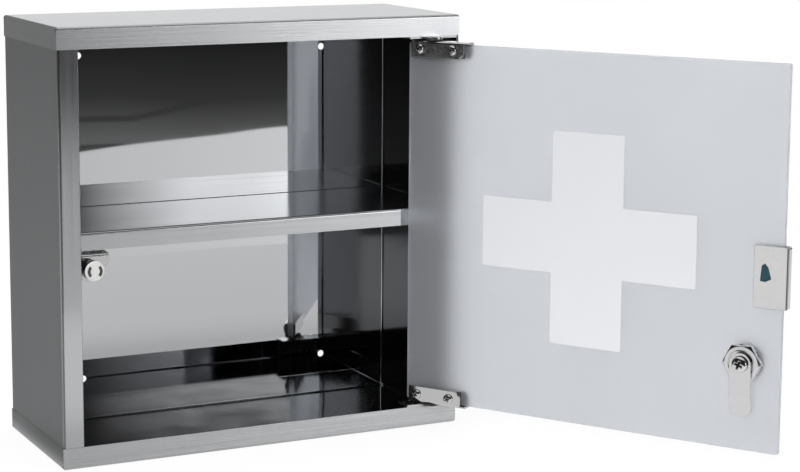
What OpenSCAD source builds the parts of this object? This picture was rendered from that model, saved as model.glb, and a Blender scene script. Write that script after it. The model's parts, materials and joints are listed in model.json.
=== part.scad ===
// Lockable wall cabinet: a case folded from stainless sheet, one shelf, and a
// frosted glass door that turns on two pivot hinges and is held shut by a
// magnetic catch and a cam lock.
// Axes: X across the front, Y from the front back to the wall, Z up.
// Origin: the middle of the rear face, at the centre of the four wall holes.
// The door stands open, door_open degrees from closed.

/* [Case] */
// Overall width, over the cap flanges
cab_w = 300; // [240:5:400]
// Overall height
cab_h = 300; // [240:5:450]
// Overall depth, without the door
cab_d = 120; // [95:5:180]
// Thickness of the case sheet
sheet = 0.8; // [0.6:0.1:1]
// Inside radius of the sheet bends
bend_r = 1.2; // [0.8:0.1:1.6]
// Height of the cap flanges
cap_flange = 15; // [12:0.5:22]
// How far the cap flanges stand proud of the walls
cap_proud = 0.25; // [0.15:0.05:0.35]
// Gap in each welded or butted seam
seam = 0.05; // [0.02:0.01:0.1]
// Width of the left stile that the door closes on
stile_w = 15; // [13:0.5:20]
// Width of the closed hems on the free edges
hem = 8; // [5:0.5:10]
// Radius of the relief hole at each cap and shelf corner
relief_r = 0.9; // [0.6:0.1:1.4]

/* [Wall holes] */
// Radius of the four wall holes
hole_r = 2.5; // [2:0.25:4]
// Distance of the wall holes from each side
hole_in_x = 54; // [30:1:90]
// Distance of the wall holes from the top and the bottom
hole_in_z = 31; // [24:1:60]

/* [Shelf] */
// Height of the shelf's top above the middle of the case
shelf_z = 9; // [-20:1:40]
// Distance of the shelf's front edge behind the case front
shelf_back = 17.5; // [14:0.5:30]
// Height of the shelf's flanges
shelf_flange = 12.5; // [8:0.5:20]

/* [Door] */
// Angle at which the door stands open
door_open = 122.5; // [20:0.5:165]
// Thickness of the glass
glass_t = 4; // [3:0.5:5]
// Gap between the glass and the front of the caps
glass_gap = 1.6; // [1.6:0.1:3]
// Side gap from the outside of the case to the closed hinge edge
edge_gap = 3; // [2.6:0.1:5]
// How far the closed door laps over the stile
stile_lap = 2.5; // [2:0.5:6]
// Radius of the glass corners
glass_corner = 1; // [0.5:0.25:4]

/* [Hinges] */
// Distance of the pivot from the hinge edge of the glass
pivot_in = 19; // [15:0.5:24]
// Radius of the hinge pins
pin_r = 2.5; // [2:0.1:3]
// Radial clearance of a pin or plug that turns in a bore
run_fit = 0.05; // [0.03:0.01:0.08]
// End gap between the clamp and the bush
end_gap = 0.1; // [0.05:0.05:0.3]
// Thickness of the hinge leaves
leaf_t = 1.5; // [1.2:0.1:2.5]
// Radius of the leaf's nose and of the bush
nose_r = 6; // [5:0.25:7]
// Thickness of the bush
bush_t = 1.2; // [0.8:0.1:2]
// Length of a leaf along the case front
leaf_len = 37.3; // [30:0.1:50]
// How far a leaf reaches back into the case
leaf_back = 14; // [8:0.5:20]
// Side gap between a leaf and the right wall's hem
leaf_gap = 0.3; // [0.2:0.1:1]
// Room between the leaf's tab and the cap's plate
tab_room = 1.7; // [1.4:0.1:5]
// Thickness of the clamp walls
clamp_t = 1.4; // [1:0.1:2]
// Height of the clamps
clamp_h = 12; // [10:0.5:16]
// Distance of the clamp from the hinge edge of the glass
clamp_in = 3; // [2:0.5:5]
// Length of the clamp's outer wall
clamp_len = 46; // [40:1:60]
// How much shorter the clamp's inner wall is
clamp_short = 3.5; // [0:0.5:6]
// Chamfer on the clamp's lower free corner
clamp_cut = 4; // [2:0.5:6]
// Thickness of the rubber liners in the clamps
liner_t = 0.5; // [0.3:0.1:1]
// Thickness of the plates that press on the liners
plate_t = 0.8; // [0.6:0.1:1.5]
// Room for the pressure plate to move
plate_room = 0.3; // [0.2:0.1:0.6]
// Radius of the clamp screws' shanks
screw_r = 2; // [1.5:0.1:2.5]
// Radius of the clamp screws' heads
head_r = 3.7; // [3:0.1:4.5]
// Height of the clamp screws' heads
head_h = 2.2; // [1.6:0.1:3]
// Distance of the first screw from the clamp's hinge end
screw_in = 6.5; // [5:0.5:10]
// Distance between the two screws
screw_gap = 26.5; // [18:0.5:28]
// Distance of the screws below the clamp's closed side
screw_down = 5.9; // [5:0.1:8]

/* [Catch and strike] */
// Distance of the catch from the left side of the case
catch_in = 24.4; // [22:0.2:30]
// Distance of the catch below the shelf's front flange
catch_drop = 11.2; // [10:0.2:24]
// Radius of the catch
catch_r = 7; // [6.5:0.25:8]
// Length of the catch
catch_len = 11; // [9:0.5:14]
// Gap between the shut strike and the catch
catch_gap = 0.3; // [0.2:0.1:1]
// How far the poles stand out of the catch
pole_out = 0.2; // [0.1:0.1:0.4]
// Depth of the poles in the catch
pole_deep = 7; // [5:0.5:8]
// Inner radius of the poles
pole_in_r = 3.3; // [2.5:0.1:3.6]
// Radial thickness of the poles
pole_t = 1.9; // [1.4:0.1:2.2]
// Half the angle that a pole spans
pole_half = 46; // [30:1:60]
// Length of the magnet
magnet_len = 5; // [3:0.5:6]
// Radius of the catch's threaded stud
stud_r = 2.5; // [2:0.1:3]
// Thickness of the catch bracket
bracket_t = 1.2; // [1:0.1:2]
// Width of the catch bracket
bracket_w = 27; // [20:0.5:32]
// Height of the bracket's straight sides
bracket_side = 6; // [4:0.5:8]
// Radius of the bracket's lower end
lobe_r = 9; // [8.5:0.25:11]
// Room between the bracket's tab and the shelf's plate
bracket_room = 4; // [3:0.5:5]
// Thickness of the stud's nut
stud_nut_t = 3.2; // [2.5:0.1:4]
// Height of the strike clip
clip_h = 42; // [30:1:60]
// How far the clip reaches in from the glass edge
clip_in = 20; // [16:0.5:30]
// How far the clip reaches past the glass edge
clip_over = 4; // [2:0.5:5]
// Thickness of the clip
clip_t = 0.8; // [0.6:0.1:1]
// Radius of the clip's corners
clip_corner = 1.5; // [0.5:0.25:3]
// Thickness of the rubber pad in the clip
pad_t = 0.4; // [0.3:0.1:0.8]
// Height of the clip's middle above the catch
clip_up = 3.9; // [0:0.1:10]

/* [Lock] */
// Distance of the lock from the free edge of the glass
lock_in = 25; // [22:0.5:32]
// Distance of the lock below the catch
lock_drop = 55.3; // [45:0.1:70]
// Radius of the lock body
lock_r = 9.2; // [8.5:0.1:10]
// Clearance of the lock body in the glass
lock_fit = 0.5; // [0.3:0.1:1]
// Radius of the lock's outer bezel
bezel_r = 12; // [11.5:0.5:14]
// Thickness of the bezel
bezel_t = 2.6; // [2:0.1:4]
// Thickness of the two rubber seals
seal_t = 1; // [0.6:0.1:1.5]
// Thickness of the toothed washer
tooth_t = 0.8; // [0.6:0.1:1.2]
// Width across the flats of the lock nut
nut_af = 24; // [23:0.5:28]
// Thickness of the lock nut
nut_t = 4; // [3:0.1:5]
// Radius of the plug
plug_r = 6; // [5.5:0.1:6.5]
// Size of the square drive on the plug
drive = 7; // [6:0.1:7.6]
// Width of the cam
cam_w = 15.2; // [14:0.2:17]
// Length of the cam from the lock axis to its end
cam_len = 36; // [34:0.5:36]
// Thickness of the cam
cam_t = 1.6; // [1.2:0.1:2]
// Gap between the nut and the cam, and between the shut cam and the stile
cam_gap = 0.3; // [0.2:0.05:0.5]
// Where the cam's crank starts, from the lock axis
crank_from = 21.5; // [17:0.5:23]
// Length of the crank along the cam
crank_len = 4; // [3:0.5:6]
// Radius of the cam screw's head
cam_head_r = 5.6; // [4.5:0.1:6]
// Height of the cam screw's head
cam_head_h = 3; // [2:0.1:4]

/* [Hidden] */
$fn = 64;
past = 1;                                   // how far a cutting solid runs past what it cuts

// Case
side_x = cab_w / 2 - cap_proud;             // outside of the side walls
front_y = -cab_d + cap_proud;               // front of the stile
flange_z = cab_h / 2 - cap_flange;          // free edge of the cap flanges
strip_in = sheet + seam;                    // set-in of the strips behind the cap flanges
fold_r = sheet + seam / 2;                  // outside radius of a closed hem
fold_y = front_y + fold_r;                  // centre of the hem folds
stile_x = -cab_w / 2 + stile_w;             // free edge of the stile
hem_rear_y = fold_y + fold_r;               // rear face of the stile's hem
hem_inner_x = side_x - 2 * fold_r;          // inner face of the right wall's hem

// Door, in its own axes: x from the pivot towards the closed hinge edge,
// y from the middle of the glass towards the inside, z up
door_w = cab_w - edge_gap - stile_w + stile_lap;
pivot_x = cab_w / 2 - edge_gap - pivot_in;
pivot_y = -cab_d - glass_gap - glass_t / 2;
free_x = pivot_in - door_w;                 // free edge of the glass
face = glass_t / 2;                         // glass face, from the middle of the glass

// Hinge stack, from the cap flange towards the glass
bush_z = flange_z - leaf_t;
clamp_z = bush_z - bush_t - end_gap;
glass_z = clamp_z - clamp_t - liner_t;      // top edge of the glass
near_in = face + liner_t + plate_t + plate_room;
near_out = near_in + clamp_t;
far_out = face + liner_t + clamp_t;
clamp_hi = pivot_in - clamp_in;
clamp_lo = clamp_hi - clamp_len;
near_lo = clamp_lo + clamp_short;
screw_xs = [clamp_hi - screw_in, clamp_hi - screw_in - screw_gap];
nose_fit = 0.2;                             // the leaf's nose stands proud of the bush
pin_end = 0.2;                              // the pin stands proud of the leaf

// Catch and strike
catch_x = -cab_w / 2 + catch_in;
shelf_low = shelf_z - shelf_flange;         // free edge of the shelf's flanges
catch_z = shelf_low - catch_drop;
catch_front = pivot_y + face + pad_t + clip_t + catch_gap;
catch_face = catch_front + pole_out;        // front of the catch's housing
catch_rear = catch_front + catch_len;       // front of the bracket plate
wall_in_x = -side_x + sheet;                // inner face of the left wall
stud_nut_af = 4 * stud_r - 2;               // across the flats of the stud's nut
stud_past = 2;                              // how far the stud stands past its nut
clip_z = catch_z + clip_up;

// Lock, in the door's axes
lock_x = free_x + lock_in;
lock_z = catch_z - lock_drop;
nut_y = face + seal_t + tooth_t;
nut_top = nut_y + nut_t;
cam_y = nut_top + cam_gap;
tip_y = hem_rear_y - pivot_y + cam_gap + seam;
bezel_y = -face - seal_t;                   // rear of the bezel
flat_w = 2 * lock_r - 2;                    // across the two flats on the lock body
wafer_t = 1;
wafer_gap = 0.1;
wafer_pitch = 2;
wafer_w = 3.8;
cam_screw_r = 1.55;                         // shank of the cam screw
cam_screw_deep = 1.5;                       // how far the cam screw goes into the plug

// ---- Shapes used by more than one part ----

// Rounded rectangle from (x0, y0) to (x1, y1)
module rounded(x0, x1, y0, y1, r) {
    translate([x0 + r, y0]) square([x1 - x0 - 2 * r, y1 - y0]);
    translate([x0, y0 + r]) square([x1 - x0, y1 - y0 - 2 * r]);
    for (x = [x0 + r, x1 - r], y = [y0 + r, y1 - r]) translate([x, y]) circle(r);
}

// Outline that is square below and has both upper corners rounded, top at y = 0
module arch(x0, x1, h, r) {
    translate([x0, -h]) square([x1 - x0, h - r]);
    translate([x0 + r, -h]) square([x1 - x0 - 2 * r, h]);
    for (x = [x0 + r, x1 - r]) translate([x, -r]) circle(r);
}

// Block whose four upper edges are rounded, as a folded tray's are.
// Its back is at y = 0 and its top at z = 0.
module folded_block(w, d, h, r) {
    intersection() {
        rotate([90, 0, 0]) linear_extrude(d) arch(-w / 2, w / 2, h, r);
        translate([-w / 2, 0, 0]) rotate([90, 0, 90]) linear_extrude(w) arch(-d, 0, h, r);
    }
}

// Sheet tray, open below: a plate with a flange folded down on each side.
// The side flanges butt against the front and rear ones, with a seam and a
// relief hole at each corner.
module sheet_tray(w, d, h) {
    turn = bend_r + sheet;
    relief_in = 0.7 * relief_r;
    difference() {
        folded_block(w, d, h, turn);
        translate([0, -sheet, -sheet]) folded_block(w - 2 * sheet, d - 2 * sheet, h, bend_r);
        for (side = [-1, 1], butt = [[-sheet, -1], [-d + sheet, 1]]) {
            translate([side * (w / 2 - sheet / 2) - sheet, butt[0] + (butt[1] - 1) * seam, -h - past])
                cube([2 * sheet, 2 * seam, h + past - turn]);
            translate([side * w / 2 - past - sheet, butt[0] + butt[1] * relief_in, -turn])
                rotate([0, 90, 0]) cylinder(r = relief_r, h = 2 * (sheet + past), $fn = 24);
        }
    }
}

// Regular hexagon across the flats af
module hexagon(af) {
    circle(r = af / sqrt(3), $fn = 6);
}

// Pan head with a domed edge on z = 0, and its cross recess
module pan_head(r, h) {
    edge = h * 0.6;
    slot_w = r * 0.22;
    slot_l = r * 1.1;
    difference() {
        rotate_extrude() {
            square([r - edge, h]);
            square([r, h - edge]);
            intersection() {
                translate([r - edge, h - edge]) circle(edge);
                square([r, h]);
            }
        }
        translate([0, 0, h]) for (a = [0, 90]) rotate(a)
            cube([slot_l, slot_w, h], center = true);
    }
}

// Places a part in the door's own axes
module at_door() {
    translate([pivot_x, pivot_y, 0]) rotate(door_open) children();
}

// Places a part on the lock's axis: local z runs into the case, local y down
module at_lock() {
    at_door() translate([lock_x, 0, lock_z]) rotate([-90, 0, 0]) children();
}

// Upper hinge parts are drawn once and mirrored to the bottom
module at_end(end) {
    if (end > 0) children();
    else mirror([0, 0, 1]) children();
}

// ---- Case ----

// Outline of the case walls, set in from the overall size. The right front
// corner stays square, because the sheet ends there.
module wall_outline(in_side, in_front, in_rear, r) {
    x = cab_w / 2 - in_side;
    y = -cab_d + in_front;
    rounded(-x, x, y, -in_rear, r);
    translate([x - 2 * r, y]) square(2 * r);
}

// One layer of wall sheet round the left, rear and right sides and the front
module wall_ring(in_side, in_front, in_rear) {
    difference() {
        wall_outline(in_side, in_front, in_rear, bend_r + sheet);
        wall_outline(in_side + sheet, in_front + sheet, in_rear + sheet, bend_r);
    }
}

// Walls between the caps, with a closed hem on the stile and on the right edge
module wall_plan() {
    difference() {
        wall_ring(cap_proud, cap_proud, 0);
        translate([stile_x - fold_r, -cab_d]) square([cab_w, fold_y + cab_d]);
    }
    translate([stile_x - fold_r, fold_y]) circle(fold_r);
    translate([stile_x - hem, fold_y + seam / 2]) square([hem - fold_r, sheet]);
    translate([side_x - fold_r, fold_y]) circle(fold_r);
    translate([hem_inner_x, fold_y]) square([sheet, hem - fold_r]);
}

// Strip that is set in behind the cap flanges, without hems
module strip_plan(in_outer_side, in_outer_rear) {
    difference() {
        wall_outline(in_outer_side, in_outer_side, in_outer_rear, bend_r + sheet);
        wall_outline(strip_in + sheet, strip_in + sheet, strip_in + sheet, bend_r);
        translate([stile_x - sheet, -cab_d]) square([cab_w, 2 * strip_in + sheet]);
    }
}

module body_wrap() {
    strip_z = flange_z - seam - sheet;
    strip_top = cab_h / 2 - sheet - bend_r;
    color([0.74, 0.75, 0.76]) difference() {
        union() {
            translate([0, 0, -flange_z + seam]) linear_extrude(2 * (flange_z - seam)) wall_plan();
            for (end = [-1, 1]) at_end(end) {
                translate([0, 0, strip_z]) linear_extrude(strip_top - strip_z)
                    strip_plan(strip_in, strip_in);
                translate([0, 0, strip_z]) linear_extrude(sheet) strip_plan(cap_proud, 0);
            }
        }
        for (x = [-1, 1], z = [-1, 1])
            translate([x * (cab_w / 2 - hole_in_x), past, z * (cab_h / 2 - hole_in_z)])
                rotate([90, 0, 0]) cylinder(r = hole_r, h = sheet + 2 * past);
    }
}

module cap(end) {
    color([0.80, 0.81, 0.82]) at_end(end)
        translate([0, 0, cab_h / 2]) sheet_tray(cab_w, cab_d, cap_flange);
}

module shelf() {
    shelf_w = 2 * (side_x - sheet - seam);
    shelf_d = cab_d - shelf_back - sheet - seam;
    color([0.72, 0.73, 0.74]) intersection() {
        translate([0, -sheet - seam, shelf_z]) sheet_tray(shelf_w, shelf_d, shelf_flange);
        // its rear corners clear the bends of the wall sheet
        translate([0, 0, shelf_low - past]) linear_extrude(shelf_flange + 2 * past)
            wall_outline(cap_proud + sheet + seam, 0, sheet + seam, bend_r - seam);
    }
}

// ---- Magnetic catch ----

// Angle section: its outer corner is at the origin, and its legs run along x and y
module angle_section(len_x, len_y, t) {
    intersection() {
        difference() {
            rounded(0, 2 * len_x, 0, 2 * len_y, bend_r + t);
            rounded(t, 3 * len_x, t, 3 * len_y, bend_r);
        }
        square([len_x, len_y]);
    }
}

// Front of the bracket, about the catch's axis: straight sides, then tangents
// to a round lower end
module bracket_outline(top) {
    half = bracket_w / 2;
    side = top - bracket_side;
    turn = atan2(side, half) - acos(lobe_r / norm([half, side]));
    tip = [lobe_r * cos(turn), lobe_r * sin(turn)];
    circle(lobe_r);
    polygon([[-half, top], [half, top], [half, side], tip, [-tip[0], tip[1]], [-half, side]]);
}

// Z-shaped bracket, welded behind the shelf's front flange and bent forward
// under it
module catch_bracket() {
    top = shelf_low - bend_r;
    rear = -cab_d + shelf_back + sheet + seam + bracket_t;
    leg = rear - catch_rear - bend_r - bracket_t;
    up = top - catch_z;
    tab = shelf_flange - sheet - bracket_room + bend_r + bracket_t;
    color([0.70, 0.71, 0.72]) difference() {
        translate([catch_x - bracket_w / 2, 0, 0]) rotate([90, 0, 90])
            linear_extrude(bracket_w) {
                translate([catch_rear, top]) mirror([0, 1, 0])
                    angle_section(leg, up + lobe_r, bracket_t);
                translate([rear, top - bracket_t]) mirror([1, 0, 0])
                    angle_section(leg, tab, bracket_t);
            }
        translate([catch_x, catch_rear + bracket_t, catch_z]) rotate([90, 0, 0])
            linear_extrude(2 * bracket_t) difference() {
                translate([-bracket_w, -2 * lobe_r])
                    square([2 * bracket_w, 2 * lobe_r + up - bracket_t]);
                bracket_outline(up);
            }
        translate([catch_x, catch_rear - past, catch_z])
            rotate([-90, 0, 0]) cylinder(r = stud_r + run_fit, h = bracket_t + 2 * past);
    }
}

// Outline of one pole: part of a ring, on the side that the angle a gives
module pole_sector(a, grow) {
    r0 = pole_in_r - grow;
    r1 = pole_in_r + pole_t + grow;
    far = 2 * catch_r;
    rotate(a) intersection() {
        difference() {
            circle(r1);
            circle(r0);
        }
        polygon([[0, 0], [far, -far * tan(pole_half) - grow], [far, far * tan(pole_half) + grow]]);
    }
}

// Places a part on the catch's axis: local z runs back into the case
module at_catch() {
    translate([catch_x, catch_front, catch_z]) rotate([-90, 0, 0]) children();
}

// Round housing with two pole slots, a magnet pocket and a threaded stud
module catch_body() {
    stud_len = bracket_t + stud_nut_t + stud_past;
    edge = 0.6;
    color([0.78, 0.78, 0.77]) at_catch() difference() {
        union() {
            translate([0, 0, pole_out]) cylinder(r1 = catch_r - edge, r2 = catch_r, h = edge);
            translate([0, 0, pole_out + edge])
                cylinder(r = catch_r, h = catch_len - pole_out - edge);
            translate([0, 0, catch_len - past]) cylinder(r = stud_r, h = stud_len + past);
        }
        for (a = [0, 180])
            translate([0, 0, -past]) linear_extrude(pole_deep + past) pole_sector(a, seam);
        translate([0, 0, pole_deep - magnet_len - seam])
            cylinder(r = pole_in_r, h = magnet_len + seam);
    }
}

module catch_poles() {
    color([0.25, 0.25, 0.26]) at_catch() for (a = [0, 180])
        linear_extrude(pole_deep) pole_sector(a, 0);
}

module catch_magnet() {
    color([0.18, 0.18, 0.19]) at_catch() translate([0, 0, pole_deep - magnet_len])
        cylinder(r = pole_in_r - 2 * seam, h = magnet_len - seam);
}

module catch_nut() {
    color([0.66, 0.67, 0.68]) at_catch() translate([0, 0, catch_len + bracket_t])
        difference() {
            linear_extrude(stud_nut_t) hexagon(stud_nut_af);
            translate([0, 0, -past]) cylinder(r = stud_r, h = stud_nut_t + 2 * past);
        }
}

// ---- Hinges, drawn at the top ----

// Pierced plate under the cap flange, with a tab welded behind the flange
module hinge_leaf(end) {
    nose = nose_r + nose_fit;
    x1 = hem_inner_x - leaf_gap;
    tab_y = -cab_d + sheet + seam;
    tab_top = cab_h / 2 - sheet - tab_room;
    tab_in = 1.5;
    color([0.62, 0.63, 0.65]) at_end(end) {
        translate([0, 0, bush_z]) linear_extrude(leaf_t - seam) difference() {
            union() {
                translate([x1 - leaf_len, -cab_d]) square([leaf_len, leaf_back]);
                translate([pivot_x - nose, pivot_y])
                    square([2 * nose, -cab_d + past - pivot_y]);
                translate([pivot_x, pivot_y]) circle(nose);
            }
            translate([pivot_x, pivot_y]) circle(pin_r + run_fit);
        }
        translate([x1 - leaf_len + tab_in, tab_y, bush_z])
            cube([leaf_len - 2 * tab_in, leaf_t, tab_top - bush_z]);
    }
}

// Flanged washer that the clamp turns on
module hinge_bush(end) {
    color([0.30, 0.31, 0.32]) at_end(end)
        translate([pivot_x, pivot_y, bush_z - bush_t]) difference() {
            cylinder(r = nose_r, h = bush_t);
            translate([0, 0, -past]) cylinder(r = pin_r + run_fit, h = bush_t + 2 * past);
        }
}

// Pin that is riveted into the clamp and turns in the bush and the leaf
module hinge_pin(end) {
    z0 = clamp_z - clamp_t;
    color([0.55, 0.56, 0.58]) at_end(end)
        translate([pivot_x, pivot_y, z0])
            cylinder(r = pin_r, h = flange_z + pin_end - z0);
}

// U-shaped clamp over the edge of the glass
module hinge_clamp(end) {
    turn = clamp_t + liner_t;
    color([0.80, 0.81, 0.83]) at_end(end) at_door() translate([0, 0, clamp_z]) difference() {
        translate([clamp_lo, 0, 0]) rotate([90, 0, 90]) linear_extrude(clamp_len) difference() {
            arch(-far_out, near_out, clamp_h, turn);
            translate([-far_out + clamp_t, -clamp_h - past])
                square([near_in + far_out - clamp_t, clamp_h + past - clamp_t]);
        }
        // the inner wall is shorter, and both walls lose their lower free corner
        translate([clamp_lo - past, face, -clamp_h - past])
            cube([clamp_short + past, near_out, clamp_h + past - clamp_t]);
        for (wall = [[near_lo, near_out + past], [clamp_lo, -face]])
            translate([wall[0], wall[1], -clamp_h]) rotate([90, 0, 0])
                linear_extrude(near_out + past - face)
                    polygon([[-past, -past], [clamp_cut + past, -past], [-past, clamp_cut + past]]);
        for (x = screw_xs) translate([x, face, -screw_down])
            rotate([-90, 0, 0]) cylinder(r = screw_r + run_fit, h = near_out);
        translate([0, 0, -clamp_t - past]) cylinder(r = pin_r, h = clamp_t + 2 * past);
    }
}

// Plate that spreads the screws' pressure over the liner
module pressure_plate(end) {
    margin = 1;
    color([0.66, 0.67, 0.69]) at_end(end) at_door()
        translate([near_lo + margin, face + liner_t, clamp_z - clamp_h + margin])
            cube([clamp_hi - near_lo - 2 * margin, plate_t, clamp_h - clamp_t - liner_t - margin]);
}

// Rubber liners on the two faces and the edge of the glass
module clamp_liners(end) {
    margin = 0.5;
    len = clamp_hi - clamp_lo - 2 * margin;
    low = clamp_z - clamp_h + margin;
    color([0.12, 0.12, 0.13]) at_end(end) at_door() {
        translate([clamp_lo + margin, -face - liner_t, low])
            cube([len, liner_t, glass_z - low]);
        translate([near_lo + margin, face, low])
            cube([len - clamp_short, liner_t, glass_z - low]);
        translate([clamp_lo + margin, -face + seam, glass_z])
            cube([len, glass_t - 2 * seam, liner_t]);
    }
}

module clamp_screws(end) {
    shank = near_out - face - liner_t - plate_t;
    color([0.83, 0.84, 0.85]) at_end(end) at_door() for (i = [0, 1])
        translate([screw_xs[i], near_out, clamp_z - screw_down]) rotate([-90, 0, 0]) {
            rotate(20 + 50 * i) pan_head(head_r, head_h);
            translate([0, 0, -shank]) cylinder(r = screw_r, h = shank + seam);
        }
}

// ---- Door ----

module door_glass() {
    color([0.86, 0.89, 0.88, 0.7]) at_door() difference() {
        translate([0, face, 0]) rotate([90, 0, 0]) linear_extrude(glass_t)
            rounded(free_x, pivot_in, -glass_z, glass_z, glass_corner);
        translate([lock_x, 0, lock_z]) rotate([90, 0, 0])
            cylinder(r = lock_r + lock_fit, h = glass_t + 2 * past, center = true);
    }
}

// Outline of a channel that wraps the free edge of the glass, open towards
// the hinge, with its end past the glass edge
module channel_outline(gap, reach, over, t) {
    out = face + gap + t;
    turn = gap + 0.2;
    difference() {
        rounded(free_x - over, free_x + 2 * reach, -out, out, t + turn);
        rounded(free_x - over + t, free_x + 3 * reach, -out + t, out - t, turn);
        translate([free_x + reach, -2 * out]) square([3 * reach, 4 * out]);
    }
}

// Spring steel channel, which the magnet holds. Its inner leaf has a window.
module strike_clip() {
    window = [[0.3, 6.3], [2.4, 4.7], [3.3, -5.6], [0, -6], [-4.2, -3.8], [-2, 3.9]];
    window_up = 2.8;
    window_in = 0.6 * clip_in;
    out = face + pad_t + clip_t + past;
    color([0.80, 0.81, 0.82]) at_door() difference() {
        intersection() {
            translate([0, 0, clip_z - clip_h / 2]) linear_extrude(clip_h)
                channel_outline(pad_t, clip_in, clip_over, clip_t);
            translate([0, out, clip_z]) rotate([90, 0, 0]) linear_extrude(2 * out)
                rounded(free_x - clip_over, free_x + clip_in, -clip_h / 2, clip_h / 2, clip_corner);
        }
        translate([free_x + window_in, out, clip_z + window_up])
            rotate([90, 0, 0]) linear_extrude(clip_t + past + seam) polygon(window);
    }
}

// Rubber pad between the glass and the clip, thick at the glass edge
module clip_pad() {
    margin = 1;
    tip = clip_over - clip_t - seam;
    end_r = pad_t + 0.4;
    color([0.09, 0.17, 0.20]) at_door()
        translate([0, 0, clip_z - clip_h / 2 + margin]) linear_extrude(clip_h - 2 * margin)
            difference() {
                rounded(free_x - tip, free_x + 2 * clip_in, -face - pad_t, face + pad_t, end_r);
                translate([free_x, -face]) square([3 * clip_in, glass_t]);
                translate([free_x + clip_in - margin, -2 * glass_t]) square([2 * clip_in, 4 * glass_t]);
            }
}

// ---- Cam lock ----

// Threaded barrel with two flats and a bezel outside the glass
module lock_body() {
    back = nut_top - cam_gap;
    edge = 0.8;
    color([0.76, 0.77, 0.79]) at_lock() difference() {
        union() {
            intersection() {
                translate([0, 0, bezel_y - seam]) cylinder(r = lock_r, h = back - bezel_y);
                translate([-lock_r, -flat_w / 2, bezel_y - past])
                    cube([2 * lock_r, flat_w, back - bezel_y + 2 * past]);
            }
            translate([0, 0, bezel_y - bezel_t + edge])
                cylinder(r = bezel_r, h = bezel_t - edge);
            translate([0, 0, bezel_y - bezel_t])
                cylinder(r1 = bezel_r - edge, r2 = bezel_r, h = edge);
        }
        translate([0, 0, bezel_y - bezel_t - past])
            cylinder(r = plug_r + run_fit, h = back - bezel_y + bezel_t + 2 * past);
    }
}

module lock_seal(y) {
    color([0.10, 0.10, 0.11]) at_lock() translate([0, 0, y]) difference() {
        cylinder(r = bezel_r - seal_t / 2, h = seal_t);
        translate([0, 0, -past]) cylinder(r = lock_r, h = seal_t + 2 * past);
    }
}

// Washer whose rim is cut into teeth
module lock_tooth_washer() {
    teeth = 20;
    tooth_deep = 1.1;
    tooth_gap = 1;
    rim = nut_af / 2 + 0.4;
    color([0.60, 0.61, 0.63]) at_lock() translate([0, 0, face + seal_t]) difference() {
        cylinder(r = rim, h = tooth_t);
        translate([0, 0, -past]) cylinder(r = lock_r, h = tooth_t + 2 * past);
        for (i = [0 : teeth - 1]) rotate(i * 360 / teeth)
            translate([rim - tooth_deep, -tooth_gap / 2, -past])
                cube([2 * tooth_deep, tooth_gap, tooth_t + 2 * past]);
    }
}

// Hexagon nut with its corners chamfered on the inner side
module lock_nut() {
    corner_r = nut_af / sqrt(3);
    chamfer = 1;
    flat_in = 0.3;
    tilt = 3;
    color([0.78, 0.79, 0.81]) at_lock() translate([0, 0, nut_y]) difference() {
        intersection() {
            rotate(tilt) linear_extrude(nut_t) hexagon(nut_af);
            union() {
                cylinder(r = corner_r + seam, h = nut_t - chamfer);
                translate([0, 0, nut_t - chamfer])
                    cylinder(r1 = corner_r + seam, r2 = nut_af / 2 - flat_in, h = chamfer);
            }
        }
        translate([0, 0, -past]) cylinder(r = lock_r, h = nut_t + 2 * past);
    }
}

// Turning plug with its keyway, wafer slots and square drive
module lock_plug() {
    proud = 0.3;
    front = bezel_y - bezel_t - proud;
    key_w = 1.6;
    key_h = 7.6;
    key_end = 3;
    key_deep = cam_y - front - key_end;
    drive_in = 0.1;
    slot_w = wafer_w + 2 * wafer_gap;
    thread_deep = 2;
    color([0.72, 0.66, 0.50]) at_lock() difference() {
        union() {
            translate([0, 0, front]) cylinder(r = plug_r, h = cam_y - front);
            translate([-drive / 2, -drive / 2, cam_y - seam])
                cube([drive, drive, cam_t + seam - drive_in]);
        }
        translate([-key_w / 2, -key_h / 2, front - past]) cube([key_w, key_h, key_deep + past]);
        for (i = [0 : 3]) translate([-slot_w / 2, -plug_r, wafer_z(i) - wafer_gap])
            cube([slot_w, 2 * plug_r, wafer_t + 2 * wafer_gap]);
        translate([0, 0, cam_y - thread_deep])
            cylinder(r = cam_screw_r + run_fit, h = cam_t + thread_deep + past);
    }
}

// Place of wafer i along the lock's axis
function wafer_z(i) = bezel_y - bezel_t + 2 + i * wafer_pitch;

// Sliding wafers that a key lifts, each with a key window
module lock_wafers() {
    wafer_h = 2 * plug_r - 1;
    window = [2.2, 6.6];
    lift = 0.5;
    color([0.78, 0.70, 0.45]) at_lock() for (i = [0 : 3])
        translate([0, 0, wafer_z(i)]) linear_extrude(wafer_t) difference() {
            intersection() {
                square([wafer_w, wafer_h], center = true);
                circle(plug_r - wafer_gap);
            }
            translate([0, lift * (i % 2)]) square(window, center = true);
        }
}

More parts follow.
